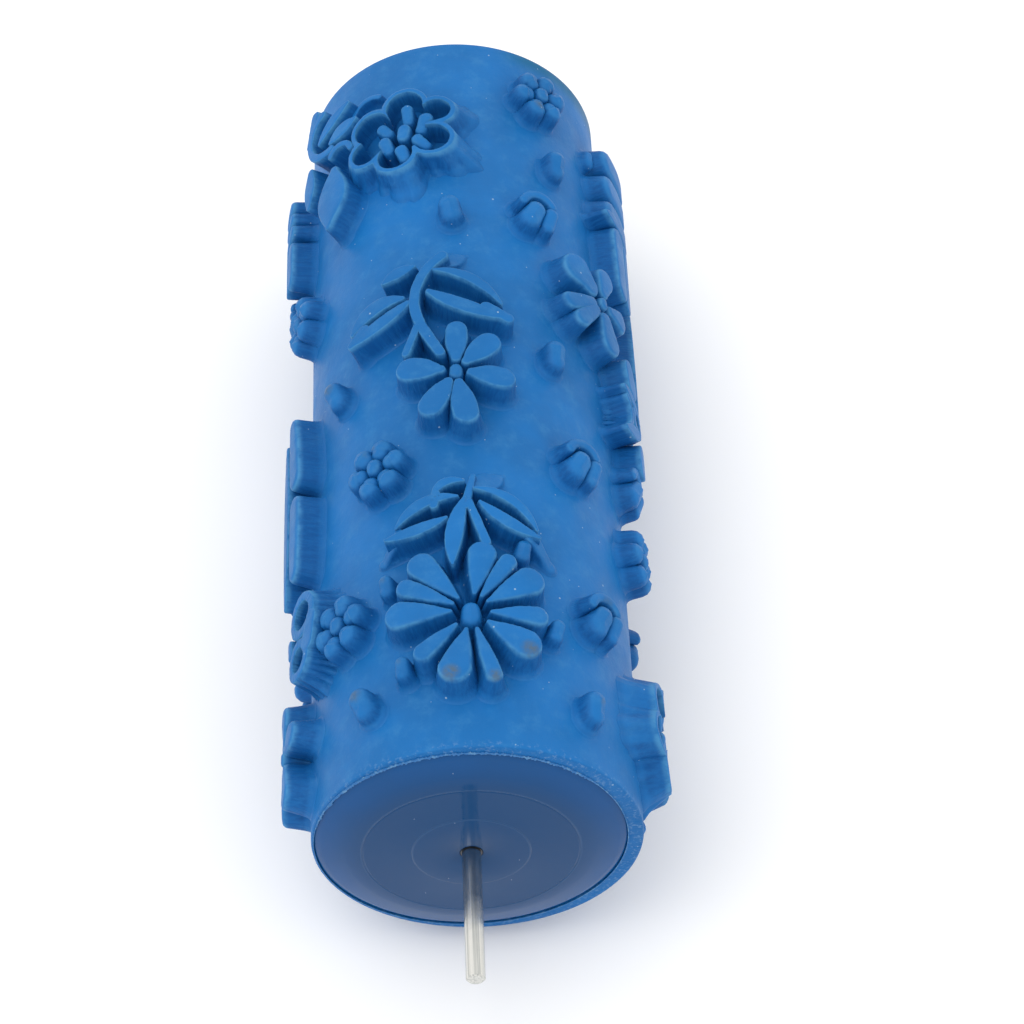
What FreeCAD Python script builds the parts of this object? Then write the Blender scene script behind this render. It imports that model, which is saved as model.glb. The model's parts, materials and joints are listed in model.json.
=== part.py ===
import FreeCAD, Part
import os
from collections import namedtuple
from math import atan2, cos, degrees, radians, sin, sqrt

# Textured pattern roller: a rubber sleeve with raised flowers on a hollow core that turns on a steel axle.
# Millimetres. The axle lies along Y through the origin, which is its middle; the near end is at -Y, up is +Z.

# Driving dimensions
ROLLER_LENGTH = 178.0        # length of the rubber sleeve, a 7 inch roller
GROUND_DIAMETER = 60.0       # sleeve between the raised motifs
RELIEF_HEIGHT = 5.6          # how far the motifs stand above the ground
LOW_RELIEF_HEIGHT = 1.6      # height of the faint leaves
ROSE_WALL = 1.1              # thickness of the rose's scalloped wall
SCALLOP_SWEEP = 190          # degrees of a circle in each scallop
CLOVER_LOBES = 6
FAT_DAISY_PETALS = 13
SLEEVE_OFFSET = 1.2          # the sleeve was cast this far off the axle, towards +X
CORE_DIAMETER = 56.6
CORE_WALL = 2.5
AXLE_DIAMETER = 4.0          # between the caps' faces
AXLE_END_DIAMETER = 3.5      # the free ends that the frame holds
AXLE_REACH = 28.4            # how far each axle end stands out of the sleeve's end

# End caps
FLANGE_THICKNESS = 2.2
CROWN_HEIGHT = 2.2           # how far the cap's flat middle stands out of its rim
CROWN_DIAMETER = 39.6
BOSS_DIAMETER = 21.3
BOSS_HEIGHT = 0.15
CAP_WALL = 2.4
SPIGOT_LENGTH = 12.0
SPIGOT_WALL = 2.2
HUB_DIAMETER = 14.0
HUB_LENGTH = 14.0
RIB_COUNT = 6
RIB_THICKNESS = 1.6

# Bearings and axle fittings
RUNNING_CLEARANCE = 0.05     # radial, axle to bush
FACE_HOLE_CLEARANCE = 0.10   # radial, axle to the hole in the cap's face
BUSH_DIAMETER = 7.0
BUSH_LENGTH = 9.0
BUSH_FLANGE_DIAMETER = 10.0
BUSH_FLANGE_THICKNESS = 1.2
WASHER_DIAMETER = 8.4
WASHER_THICKNESS = 0.6
END_PLAY = 0.15
CLIP_DIAMETER = 7.6
CLIP_THICKNESS = 0.6
CLIP_MOUTH = 2.6
GROOVE_DIAMETER = 3.0
GROOVE_WIDTH = 0.7
AXLE_CHAMFER = 0.3

# Derived places
HALF_LENGTH = ROLLER_LENGTH / 2
GROUND_RADIUS = GROUND_DIAMETER / 2
RELIEF_RADIUS = GROUND_RADIUS + RELIEF_HEIGHT
CORE_RADIUS = CORE_DIAMETER / 2
CORE_BORE = CORE_RADIUS - CORE_WALL
AXLE_RADIUS = AXLE_DIAMETER / 2
FLANGE_BACK = HALF_LENGTH - FLANGE_THICKNESS
CROWN_FACE = HALF_LENGTH + CROWN_HEIGHT
BOSS_FACE = CROWN_FACE + BOSS_HEIGHT
HUB_BACK = CROWN_FACE - CAP_WALL - HUB_LENGTH
BUSH_BACK = HUB_BACK - BUSH_FLANGE_THICKNESS
WASHER_BACK = BUSH_BACK - END_PLAY - WASHER_THICKNESS
CLIP_BACK = WASHER_BACK - CLIP_THICKNESS
RELIEF_ROOT = 2.5            # how deep a motif is rooted in the ground, before the bore is cut
PRISM_CLEARANCE = 2.0        # how far a motif's prism starts above the relief before it is trimmed
GROUND_SLABS = 10            # the ground is built in this many slabs, each of four quarters
QUARTERS = 4
HALF_TURN = 180

Y_AXIS = FreeCAD.Vector(0, 1, 0)

# The pattern is drawn on the unrolled sleeve: u runs round it to the right, v runs along it away from
# the near end, both in millimetres at the top of the relief. A shape is a closed outline with a height.
Capsule = namedtuple("Capsule", "u0 v0 r0 u1 v1 r1 height")
Lens = namedtuple("Lens", "u0 v0 u1 v1 left right height")
Band = namedtuple("Band", "u v radius start sweep thickness height")


def capsule(u0, v0, r0, u1, v1, r1, height=RELIEF_HEIGHT):
    """Two discs and the straight flanks that join them: petals, buds, stamens and stems."""
    return Capsule(u0, v0, r0, u1, v1, r1, height)


def lens(u0, v0, u1, v1, left, right, height=RELIEF_HEIGHT):
    """A blade between two arcs from one point to another; left and right are the arcs' bulges."""
    return Lens(u0, v0, u1, v1, left, right, height)


def band(u, v, radius, start, sweep, thickness=1.2, height=RELIEF_HEIGHT):
    """A curved wall; start and sweep are clockwise degrees from the far end's direction."""
    return Band(u, v, radius, start, sweep, thickness, height)


def petal(bearing, reach, width, root=3.2, root_radius=0.5):
    """One petal pointing away from the flower's middle; bearing is clockwise from the far end."""
    du, dv = sin(radians(bearing)), cos(radians(bearing))
    tip = reach - width / 2
    return capsule(du * root, dv * root, root_radius, du * tip, dv * tip, width / 2)


def daisy_head():
    """Eleven petals, wide and narrow, round a button."""
    wide_and_narrow = [(11, 15.3, 5.1), (33, 14.6, 3.2), (57, 15.9, 5.7), (92, 14.2, 4.0), (125, 14.8, 6.0),
                       (165, 15.8, 2.9), (195, 15.6, 5.9), (227, 13.9, 3.6), (274, 16.0, 5.7),
                       (299, 15.4, 3.6), (321, 16.7, 5.2)]
    petals = [petal(bearing, reach, width, 4.1, 0.4) for bearing, reach, width in wide_and_narrow]
    return petals + [capsule(0, -0.9, 1.8, 0, 0.9, 1.6)]


def fat_daisy():
    """A daisy of close, equal petals."""
    petals = [petal(index * 360 / FAT_DAISY_PETALS + 8, 13.2, 4.7) for index in range(FAT_DAISY_PETALS)]
    return petals + [capsule(0, -0.8, 1.6, 0, 1.2, 1.4)]


def big_daisy():
    stem = [lens(-3.0, 10.2, -0.5, 25.2, 2.1, -0.7), capsule(3.2, 15.0, 0.9, 0.4, 24.2, 0.7),
            capsule(-0.4, 23.4, 0.9, 1.2, 31.0, 0.6)]
    left_leaf = [lens(-13.4, 20.4, -1.9, 25.6, 2.9, 1.0), lens(-17.2, 17.8, -4.0, 20.9, 0.3, -2.3)]
    right_leaf = [lens(1.6, 27.4, 12.8, 18.8, 2.9, 1.4), lens(2.4, 24.2, 16.2, 15.6, 0.2, -2.5)]
    far_leaves = [lens(-6.4, 26.0, -0.6, 29.2, 2.2, 0.9),
                  lens(0.8, 28.2, 7.4, 34.6, 2.0, -1.9, LOW_RELIEF_HEIGHT)]
    return daisy_head() + stem + left_leaf + right_leaf + far_leaves


def small_daisy():
    petals = [(2, 12.1, 4.0), (44, 11.8, 4.8), (101, 11.6, 4.8), (171, 13.2, 4.8), (211, 12.2, 5.0),
              (280, 11.8, 5.4)]
    flower = [petal(bearing, reach, width, 3.2, 1.0) for bearing, reach, width in petals]
    button = [capsule(0, -0.3, 1.3, 0, 0.7, 1.2)]
    stem = [band(6.3, 18.2, 14.0, 248, 76, 2.1), capsule(-6.6, 12.2, 1.1, -3.0, 4.6, 1.0),
            capsule(-7.3, 11.8, 0.8, -9.6, 5.6, 0.8)]
    left_leaf = [lens(-21.2, 15.4, -10.3, 20.0, 3.3, 0.4), lens(-22.4, 12.0, -9.2, 18.5, 0.5, -2.6),
                 lens(-14.2, 25.2, -7.6, 27.6, 1.8, -0.9)]
    right_leaf = [lens(-3.6, 26.0, 9.2, 17.0, 2.7, 1.0), lens(-4.8, 20.6, 10.6, 13.0, 0.2, -2.8)]
    far_leaf = [lens(-4.6, 28.0, 2.2, 33.8, 2.2, -1.9, LOW_RELIEF_HEIGHT)]
    return flower + button + stem + left_leaf + right_leaf + far_leaf


def scallop(u, v, radius):
    """One lobe of the rose's wall, open towards the flower's middle."""
    outward = degrees(atan2(u, v))
    return band(u, v, radius + ROSE_WALL / 2, outward - SCALLOP_SWEEP / 2, SCALLOP_SWEEP, ROSE_WALL)


def rose():
    """An open flower: a scalloped wall round seven stamens."""
    wall = [scallop(-6.2, 4.0, 3.9), scallop(1.0, 7.4, 3.9), scallop(7.4, 4.8, 3.0), scallop(6.4, -3.0, 3.7),
            scallop(-1.2, -5.8, 3.7), scallop(-7.6, -2.2, 3.2)]
    stamens = [capsule(1.5, 3.9, 1.2, 1.4, 6.8, 1.3), capsule(-3.0, 1.8, 1.2, -4.3, 3.4, 1.3),
               capsule(0.5, -0.5, 1.4, 0.7, 1.3, 1.4), capsule(4.3, 0.9, 1.3, 5.4, 3.2, 1.6),
               capsule(-3.1, -3.1, 1.3, -3.7, -0.9, 1.4), capsule(5.2, -3.9, 1.2, 3.5, -2.0, 1.3),
               capsule(0.6, -6.4, 1.3, -0.1, -4.2, 1.4)]
    return wall + stamens


def rose_leaves():
    """The leaves to the rose's left, placed by the rose's middle."""
    loop = [band(-18.4, 11.2, 6.2, 170, 175, 1.9), capsule(-24.8, 12.0, 1.1, -22.6, 18.6, 1.4),
            lens(-21.0, 9.4, -12.4, 15.2, 1.8, -1.0), lens(-17.4, 6.8, -10.6, 9.4, 1.9, -1.5)]
    upper = [band(-8.4, 11.6, 4.4, 270, 120, 1.3, LOW_RELIEF_HEIGHT), band(-14.8, 1.4, 3.0, 300, 140, 1.4)]
    broad = [lens(-16.3, -0.8, -18.3, -17.1, 4.1, -4.1), lens(-24.3, 4.6, -25.3, -6.3, 2.0, -2.0)]
    return loop + upper + broad


def clover():
    """A small flower of round lobes about a round middle."""
    ring = [petal(index * 360 / CLOVER_LOBES + 20, 6.4, 4.1, 3.4, 1.6) for index in range(CLOVER_LOBES)]
    return ring + [capsule(0, -0.3, 1.45, 0, 0.4, 1.45)]


def grooved_flower():
    """Broad petals, the lower left one split by a groove, about a small middle."""
    whole = [petal(303, 12.4, 7.4, 4.6, 2.3), petal(12, 10.2, 5.6, 3.8, 1.5), petal(84, 9.8, 5.2, 3.4, 1.3),
             petal(166, 12.0, 6.0, 3.8, 1.9)]
    split = [petal(221, 12.4, 3.9, 4.0, 1.5), petal(243.5, 12.6, 3.9, 4.0, 1.5)]
    return whole + split + [capsule(0, -0.3, 1.2, 0, 0.5, 1.1)]


def pods():
    """Two seed pods, each a closed wall round a hollow."""
    return [band(0.9, 4.9, 3.85, 0, 359, 1.9), band(-0.6, -4.3, 3.35, 0, 359, 1.9),
            capsule(3.2, -2.4, 2.0, 4.6, 2.4, 1.6), capsule(-4.4, -1.0, 1.0, -4.6, 1.6, 1.1)]


def holed_leaf():
    """A leaf with a small hole, between curled flaps."""
    wall = [band(2.6, -1.4, 2.55, 0, 359, 1.9)]
    flaps = [band(-5.4, -2.6, 4.2, 30, 110, 1.2), lens(-4.6, -7.8, 3.4, -4.4, 1.4, -1.6),
             lens(-4.4, 3.0, 3.0, 1.2, 1.3, -1.1)]
    blocks = [capsule(0.6, 6.4, 2.9, -0.8, 9.6, 2.3), capsule(4.8, -11.5, 2.4, 5.2, -8.0, 2.3)]
    return wall + flaps + blocks


def paired_leaf():
    """Two round-ended blocks in line, beside one long blade."""
    blocks = [capsule(0.6, 4.2, 2.6, -0.4, 17.4, 2.0), capsule(0.4, -18.6, 2.1, 0.8, -3.4, 2.5)]
    return blocks + [lens(-5.6, -23.0, -4.6, 15.0, 2.9, -2.1)]


def block_leaf():
    """A broad leaf with a thin flap at its far end."""
    body = [capsule(1.0, -6.6, 2.8, 0.4, 6.2, 3.2), capsule(4.6, -8.8, 1.6, 5.4, 7.0, 1.8)]
    return body + [lens(-5.4, 10.0, 2.8, 10.2, 1.7, -1.1)]


def ridged_leaf():
    """Three fat ridges side by side."""
    return [capsule(-3.2, v, 3.2, 6.6, v + 0.4, 3.4) for v in (-7.4, 0.0, 7.4)]


def leafy_bud():
    """Three narrow petals over a long block."""
    petals = [capsule(-3.2, v - 0.6, 1.1, 2.3, v, 1.5) for v in (10.6, 7.2, 3.8)]
    return petals + [capsule(0.4, -8.0, 2.3, 0.8, -1.2, 2.5), capsule(-4.6, -6.8, 1.6, -5.0, 3.0, 1.8)]


def twin_bud():
    """A kernel in front of a curled sepal."""
    kernel = capsule(-1.2, -1.9, 2.1, -0.1, 0.4, 2.0)
    side = capsule(2.9, -2.6, 1.6, 3.4, 0.2, 1.5)
    return [kernel, side, band(0.3, 0.6, 3.6, 300, 120, 1.9)]


def bud():
    return [capsule(0.2, -1.3, 1.7, -0.3, 0.9, 2.0)]


def tiny_bud():
    return [capsule(0, -0.7, 1.3, 0.2, 0.9, 1.25)]


def low_bud():
    return [capsule(0, -0.8, 1.5, 0.2, 0.9, 1.4, 0.5 * RELIEF_HEIGHT)]


# Where each motif's middle lies: degrees round the sleeve from +X towards +Z, and the distance from the
# near end. The stretch from 0 to 180 degrees is the side that faces up.
LAYOUT = [
    (big_daisy, [(90.0, 26.0), (232.0, 24.0), (233.0, 106.0), (308.0, 124.0)]),
    (fat_daisy, [(258.0, 84.0)]),
    (small_daisy, [(92.0, 82.5), (281.0, 50.0)]),
    (rose, [(108.0, 148.0), (3.0, 18.0), (203.0, 66.0), (240.0, 157.0), (300.0, 20.0), (312.0, 66.0)]),
    (rose_leaves, [(108.0, 148.0), (240.0, 157.0)]),
    (clover, [(57.0, 163.0), (120.0, 63.5), (135.5, 31.5), (163.0, 117.5), (12.5, 56.5), (272.0, 117.0),
              (322.0, 149.0), (196.0, 150.0), (286.0, 165.0), (200.0, 44.0)]),
    (grooved_flower, [(35.5, 111.5), (173.0, 16.0), (262.0, 20.0)]),
    (pods, [(153.0, 34.5), (320.0, 38.0)]),
    (holed_leaf, [(18.5, 91.5), (240.0, 62.0)]),
    (paired_leaf, [(160.0, 71.5), (347.0, 119.0)]),
    (block_leaf, [(20.0, 130.5)]),
    (ridged_leaf, [(15.0, 151.5)]),
    (leafy_bud, [(169.0, 141.0), (288.0, 86.0)]),
    (twin_bud, [(61.5, 128.5), (49.5, 66.5), (44.5, 31.5), (13.0, 73.5), (336.0, 50.0), (279.0, 100.0),
                (324.0, 98.0), (184.0, 128.0)]),
    (bud, [(51.0, 145.5), (92.0, 127.0), (138.0, 88.0), (126.5, 12.5), (49.5, 11.0), (56.5, 92.0),
           (214.0, 142.0), (271.0, 134.0), (330.0, 165.0), (333.0, 10.0)]),
    (tiny_bud, [(117.0, 35.5), (112.0, 16.5), (73.0, 41.0), (63.0, 24.5), (188.0, 97.0), (262.0, 46.0),
                (252.0, 34.0), (276.0, 150.0)]),
    (low_bud, [(28.0, 157.5)]),
]


def capsule_wire(shape):
    """The shape's outline about its own middle, with the middle's place."""
    middle_u, middle_v = (shape.u0 + shape.u1) / 2, (shape.v0 + shape.v1) / 2
    along = FreeCAD.Vector(shape.u1 - shape.u0, shape.v1 - shape.v0, 0)
    span = along.Length
    along.normalize()
    across = FreeCAD.Vector(-along.y, along.x, 0)
    lean = (shape.r0 - shape.r1) / span
    left = along * lean + across * sqrt(1 - lean * lean)
    right = along * lean - across * sqrt(1 - lean * lean)
    foot, tip = along * (-span / 2), along * (span / 2)
    edges = [Part.LineSegment(foot + left * shape.r0, tip + left * shape.r1),
             Part.Arc(tip + left * shape.r1, tip + along * shape.r1, tip + right * shape.r1),
             Part.LineSegment(tip + right * shape.r1, foot + right * shape.r0),
             Part.Arc(foot + right * shape.r0, foot - along * shape.r0, foot + left * shape.r0)]
    return Part.Wire([edge.toShape() for edge in edges]), middle_u, middle_v


def lens_wire(shape):
    middle_u, middle_v = (shape.u0 + shape.u1) / 2, (shape.v0 + shape.v1) / 2
    half = FreeCAD.Vector(shape.u1 - shape.u0, shape.v1 - shape.v0, 0) * 0.5
    across = FreeCAD.Vector(-half.y, half.x, 0)
    across.normalize()
    left = Part.Arc(half * -1, across * shape.left, half)
    right = Part.Arc(half, across * shape.right, half * -1)
    return Part.Wire([left.toShape(), right.toShape()]), middle_u, middle_v


def band_wire(shape):
    """An open wall between two arcs. A short arc stands on its own middle, a long one on its centre."""
    halfway = radians(shape.start + shape.sweep / 2)
    shift = shape.radius if shape.sweep < HALF_TURN else 0
    shift_u, shift_v = shift * sin(halfway), shift * cos(halfway)

    def point(radius, bearing):
        turn = radians(bearing)
        return FreeCAD.Vector(radius * sin(turn) - shift_u, radius * cos(turn) - shift_v, 0)

    inner, outer = shape.radius - shape.thickness / 2, shape.radius + shape.thickness / 2
    first, middle, last = shape.start, shape.start + shape.sweep / 2, shape.start + shape.sweep
    edges = [Part.Arc(point(outer, first), point(outer, middle), point(outer, last)),
             Part.LineSegment(point(outer, last), point(inner, last)),
             Part.Arc(point(inner, last), point(inner, middle), point(inner, first)),
             Part.LineSegment(point(inner, first), point(outer, first))]
    return Part.Wire([edge.toShape() for edge in edges]), shape.u + shift_u, shape.v + shift_v


def raised(shape, angle, axial):
    """One shape of the pattern, standing radially on the sleeve."""
    draw = {Capsule: capsule_wire, Lens: lens_wire, Band: band_wire}[type(shape)]
    wire, u, v = draw(shape)
    turn = angle - degrees(u / RELIEF_RADIUS)
    foot = GROUND_RADIUS - RELIEF_ROOT
    prism = Part.Face(wire).extrude(FreeCAD.Vector(0, 0, RELIEF_HEIGHT + RELIEF_ROOT + PRISM_CLEARANCE))
    outward = FreeCAD.Vector(cos(radians(turn)), 0, sin(radians(turn)))
    rightward = FreeCAD.Vector(sin(radians(turn)), 0, -cos(radians(turn)))
    place = FreeCAD.Vector(SLEEVE_OFFSET, axial + v - HALF_LENGTH, 0) + outward * foot
    prism.Placement = FreeCAD.Placement(place, FreeCAD.Rotation(rightward, Y_AXIS, outward, "ZXY"))
    return prism.common(drum_cylinder(GROUND_RADIUS + shape.height))


def drum_cylinder(radius):
    """A full-length cylinder on the sleeve's own axis."""
    return Part.makeCylinder(radius, ROLLER_LENGTH, FreeCAD.Vector(SLEEVE_OFFSET, -HALF_LENGTH, 0), Y_AXIS)


def ground_blocks():
    """The plain drum in short quarter slabs, so that no face of it carries more than a few motifs."""
    slab = ROLLER_LENGTH / GROUND_SLABS
    blocks = []
    for index in range(GROUND_SLABS):
        foot = FreeCAD.Vector(SLEEVE_OFFSET, index * slab - HALF_LENGTH, 0)
        for quarter in range(QUARTERS):
            block = Part.makeCylinder(GROUND_RADIUS, slab, foot, Y_AXIS, 360 / QUARTERS)
            block.rotate(foot, Y_AXIS, quarter * 360 / QUARTERS)
            blocks.append(block)
    return blocks


def pattern_sleeve():
    """The whole moulding: ground and motifs in one piece, with the bore for the core."""
    reliefs = []
    for motif, places in LAYOUT:
        for angle, axial in places:
            reliefs += [raised(shape, angle, axial) for shape in motif()]
    bore = Part.makeCylinder(CORE_RADIUS, ROLLER_LENGTH, FreeCAD.Vector(0, -HALF_LENGTH, 0), Y_AXIS)
    blocks = ground_blocks()
    return blocks[0].multiFuse(blocks[1:] + reliefs).cut(bore)


def turned(profile):
    """A solid of revolution about the axle from (radius, Y) corners."""
    corners = [FreeCAD.Vector(radius, y, 0) for radius, y in profile]
    wire = Part.makePolygon(corners + corners[:1])
    return Part.Face(wire).revolve(FreeCAD.Vector(0, 0, 0), Y_AXIS, 360)


def core_tube():
    return turned([(CORE_BORE, -FLANGE_BACK), (CORE_RADIUS, -FLANGE_BACK), (CORE_RADIUS, FLANGE_BACK),
                   (CORE_BORE, FLANGE_BACK)])


def end_cap():
    """The far cap: crowned face, flange on the tube's end, spigot in its bore, ribbed hub for the bush."""
    face_hole = AXLE_RADIUS + FACE_HOLE_CLEARANCE
    face_back = CROWN_FACE - CAP_WALL
    spigot_bore = CORE_BORE - SPIGOT_WALL
    spigot_back = FLANGE_BACK - SPIGOT_LENGTH
    shell = turned([(face_hole, BOSS_FACE), (BOSS_DIAMETER / 2, BOSS_FACE), (BOSS_DIAMETER / 2, CROWN_FACE),
                    (CROWN_DIAMETER / 2, CROWN_FACE), (CORE_RADIUS, HALF_LENGTH), (CORE_RADIUS, FLANGE_BACK),
                    (CORE_BORE, FLANGE_BACK), (CORE_BORE, spigot_back), (spigot_bore, spigot_back),
                    (spigot_bore, FLANGE_BACK), (CROWN_DIAMETER / 2, face_back),
                    (HUB_DIAMETER / 2, face_back), (HUB_DIAMETER / 2, HUB_BACK),
                    (BUSH_DIAMETER / 2, HUB_BACK),
                    (BUSH_DIAMETER / 2, HUB_BACK + BUSH_LENGTH), (face_hole, HUB_BACK + BUSH_LENGTH)])
    ribs = []
    for index in range(RIB_COUNT):
        rib_length = spigot_bore - HUB_DIAMETER / 2 + 1.0
        rib = Part.makeBox(rib_length, face_back - spigot_back, RIB_THICKNESS,
                           FreeCAD.Vector(HUB_DIAMETER / 2 - 0.5, spigot_back, -RIB_THICKNESS / 2))
        rib.rotate(FreeCAD.Vector(0, 0, 0), Y_AXIS, index * 360 / RIB_COUNT)
        ribs.append(rib)
    return shell.multiFuse(ribs)


def bush():
    """The far flanged bush, pressed into the cap's hub from inside."""
    bore = AXLE_RADIUS + RUNNING_CLEARANCE
    flange_radius, radius = BUSH_FLANGE_DIAMETER / 2, BUSH_DIAMETER / 2
    front = HUB_BACK + BUSH_LENGTH
    return turned([(bore, BUSH_BACK), (flange_radius, BUSH_BACK), (flange_radius, HUB_BACK),
                   (radius, HUB_BACK), (radius, front), (bore, front)])


def axle_rod():
    """A rod through both bushes: a groove for each clip, and free ends turned down outside the caps."""
    end = HALF_LENGTH + AXLE_REACH
    end_radius = AXLE_END_DIAMETER / 2
    groove_radius = GROOVE_DIAMETER / 2
    groove_foot = WASHER_BACK - GROOVE_WIDTH
    upper = [(AXLE_RADIUS, groove_foot), (groove_radius, groove_foot), (groove_radius, WASHER_BACK),
             (AXLE_RADIUS, WASHER_BACK), (AXLE_RADIUS, BOSS_FACE), (end_radius, BOSS_FACE),
             (end_radius, end - AXLE_CHAMFER), (end_radius - AXLE_CHAMFER, end)]
    lower = [(radius, -y) for radius, y in reversed(upper)]
    return turned([(0, -end)] + lower + upper + [(0, end)])


def thrust_washer():
    bore = AXLE_RADIUS + RUNNING_CLEARANCE
    radius, front = WASHER_DIAMETER / 2, WASHER_BACK + WASHER_THICKNESS
    return turned([(bore, WASHER_BACK), (radius, WASHER_BACK), (radius, front), (bore, front)])


def retaining_clip():
    """An open ring that snaps into the axle's groove and stops the washer."""
    ring = turned([(GROOVE_DIAMETER / 2, CLIP_BACK), (CLIP_DIAMETER / 2, CLIP_BACK),
                   (CLIP_DIAMETER / 2, WASHER_BACK), (GROOVE_DIAMETER / 2, WASHER_BACK)])
    mouth = Part.makeBox(CLIP_MOUTH, CLIP_THICKNESS, CLIP_DIAMETER,
                         FreeCAD.Vector(-CLIP_MOUTH / 2, CLIP_BACK, 0))
    return ring.cut(mouth)


def near(solid):
    """The same piece at the other end of the axle."""
    return solid.mirror(FreeCAD.Vector(0, 0, 0), Y_AXIS)


def build():
    pieces = {"pattern_sleeve": pattern_sleeve(), "core_tube": core_tube(), "axle_rod": axle_rod()}
    paired = {"end_cap": end_cap, "bush": bush, "thrust_washer": thrust_washer,
              "retaining_clip": retaining_clip}
    for name, make in paired.items():
        pieces["far_" + name] = make()
        pieces["near_" + name] = near(make())
    return pieces


os.makedirs("parts", exist_ok=True)
for node, solid in build().items():
    solid.exportStep("parts/" + node + ".step")
    print(node, len(solid.Solids), "solid", round(solid.Volume, 1), "mm3", solid.isValid())
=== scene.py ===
import json
from collections import namedtuple
from math import cos, pi, radians, sin

import bpy
import numpy as np
from mathutils import Matrix, Vector

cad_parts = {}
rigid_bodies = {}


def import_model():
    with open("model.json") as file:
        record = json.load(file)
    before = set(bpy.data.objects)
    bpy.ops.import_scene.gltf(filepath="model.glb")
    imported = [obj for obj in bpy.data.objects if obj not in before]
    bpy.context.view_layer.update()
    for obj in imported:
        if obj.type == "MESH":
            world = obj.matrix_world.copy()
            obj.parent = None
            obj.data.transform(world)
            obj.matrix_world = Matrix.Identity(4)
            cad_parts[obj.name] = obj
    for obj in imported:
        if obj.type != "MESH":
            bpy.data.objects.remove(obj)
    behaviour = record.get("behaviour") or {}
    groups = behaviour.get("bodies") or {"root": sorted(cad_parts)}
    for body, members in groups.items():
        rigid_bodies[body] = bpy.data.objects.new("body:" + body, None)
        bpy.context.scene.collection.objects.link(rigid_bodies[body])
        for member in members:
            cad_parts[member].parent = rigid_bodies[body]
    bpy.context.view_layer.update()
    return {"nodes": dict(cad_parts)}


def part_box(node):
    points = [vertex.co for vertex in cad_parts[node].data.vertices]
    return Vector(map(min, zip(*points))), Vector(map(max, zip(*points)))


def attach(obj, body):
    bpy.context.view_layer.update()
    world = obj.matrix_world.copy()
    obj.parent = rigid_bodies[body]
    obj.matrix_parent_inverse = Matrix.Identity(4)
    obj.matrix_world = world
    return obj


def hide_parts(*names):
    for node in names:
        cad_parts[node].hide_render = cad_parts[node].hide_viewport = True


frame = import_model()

# Textured pattern roller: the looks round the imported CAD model.
# Lengths are millimetres in the drawing of the pattern and of the turned profiles, and metres in Blender.
MM = 0.001
RANDOM = np.random.default_rng(7)

# Sizes that the CAD model shares
SLEEVE_LOW, SLEEVE_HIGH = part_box("pattern_sleeve")
HALF_LENGTH = SLEEVE_HIGH.y / MM
SLEEVE_OFFSET = 1.2
GROUND_RADIUS = 30.0
RELIEF_HEIGHT = 5.6
RELIEF_RADIUS = GROUND_RADIUS + RELIEF_HEIGHT
CORE_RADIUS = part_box("core_tube")[1].x / MM
FULL_TURN = 2 * pi

# How a raised shape is moulded
ROOT_DEPTH = 0.8             # every shape reaches this far into the drum
SAMPLE_STEP = 0.55           # spacing of the points along a shape
END_POINTS = 9               # points round each rounded end
ROOT_SPREAD = 0.7            # how far it spreads down there
FOOT_FILLET = [(0.03, 0.56), (0.12, 0.36), (0.32, 0.17), (0.72, 0.05)]      # height and spread of the foot
FILLET_TOP = 0.75            # the plain wall starts above this height
FULL_FILLET_HEIGHT = 2.5     # a lower shape has a smaller fillet
SMALLEST_FILLET = 0.05       # as a share of the full one
WALL_LEVELS = (0.35, 0.6, 0.8)
DRAFT_POWER = 1.3            # above 1, a wall leans more at its foot than at its top
BEVEL_ANGLES = (0.0, 32.0, 62.0, 90.0)
BEVEL_WIDTH_SHARE = 0.85     # the most that a rounded edge takes of the half width
BEVEL_HEIGHT_SHARE = 0.6     # and of the height
DOME_SLOPE = 0.4             # a dome's height over the half width of its flat
DOME_SHOULDER = 0.75         # share of the dome's height that is reached half way in
WALL_WOBBLE = 0.045
LEAST_SINK, MOST_SINK = 0.01, 0.06          # tops end this far below their full height
CREST_SINK = 0.03
SMALLEST_REACH = 0.02
LIMIT_GAP = 0.005            # the relief stays this far inside the CAD sleeve's outer radius


def smooth_noise(count, rough, smooth):
    """Closed random sequence: fine flutes plus a slower swell."""
    fine = RANDOM.uniform(-1, 1, count) * rough
    slow = RANDOM.uniform(-1, 1, count)
    slow = (slow + np.roll(slow, 1) + np.roll(slow, 2) + np.roll(slow, -1) + np.roll(slow, -2)) / 5
    return fine + slow * smooth


# The pattern is drawn on the unrolled sleeve: u runs round it to the right, v runs along it away from
# the near end, h stands out of the ground, all in millimetres.
Stroke = namedtuple("Stroke", "spine half_width top flare bevel dome")
Crown = namedtuple("Crown", "u v pockets core rim tips")


def along(start, end, count):
    return np.linspace(0, 1, count)[:, None] * (np.array(end) - start) + start


def samples(length):
    return max(4, int(round(length / SAMPLE_STEP)) + 1)


def between(ends, share):
    """From the first of ends to the second, at each share of the way."""
    return ends[0] + (ends[1] - ends[0]) * share


def drop(u0, v0, r0, u1, v1, r1, belly=0.0, top=(1.0, 1.0), flare=(0.3, 0.6), bevel=0.35, dome=0.0):
    """A petal, bud or stamen: a straight stroke whose half width runs from r0 to r1 and swells by belly."""
    count = samples(np.hypot(u1 - u0, v1 - v0))
    s = np.linspace(0, 1, count)
    half_width = between((r0, r1), s) + belly * np.sin(pi * s)
    return Stroke(along((u0, v0), (u1, v1), count), half_width, RELIEF_HEIGHT * between(top, s),
                  between(flare, s), bevel, dome)


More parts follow.
